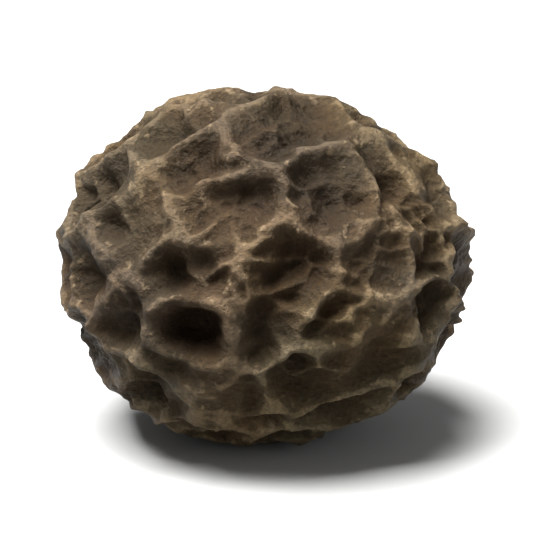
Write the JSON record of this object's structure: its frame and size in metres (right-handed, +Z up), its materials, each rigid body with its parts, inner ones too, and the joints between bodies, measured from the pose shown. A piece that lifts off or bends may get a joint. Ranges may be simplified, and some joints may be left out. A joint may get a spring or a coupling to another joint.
{
  "type": "black peppercorn",
  "caption": "Dried black peppercorn: a nearly round fruit, a little wider than high, with a dark skin shrunk into a raised net of folds, a pitted stalk scar and a small flat resting spot.",
  "frame": {"origin": "centre of the bounding box at its bottom, on the small flat spot that the peppercorn rests on", "axes": "+Z up; the scar of the stalk faces -Y and a little -X, and the blunt tip faces +Y and a little +X; the longest side of the box lies along X"},
  "size_m": [0.0056, 0.0052, 0.0047],
  "materials": {
    "skin": null
  },
  "bodies": {
    "root": {"peppercorn": "skin"}
  },
  "joints": []
}
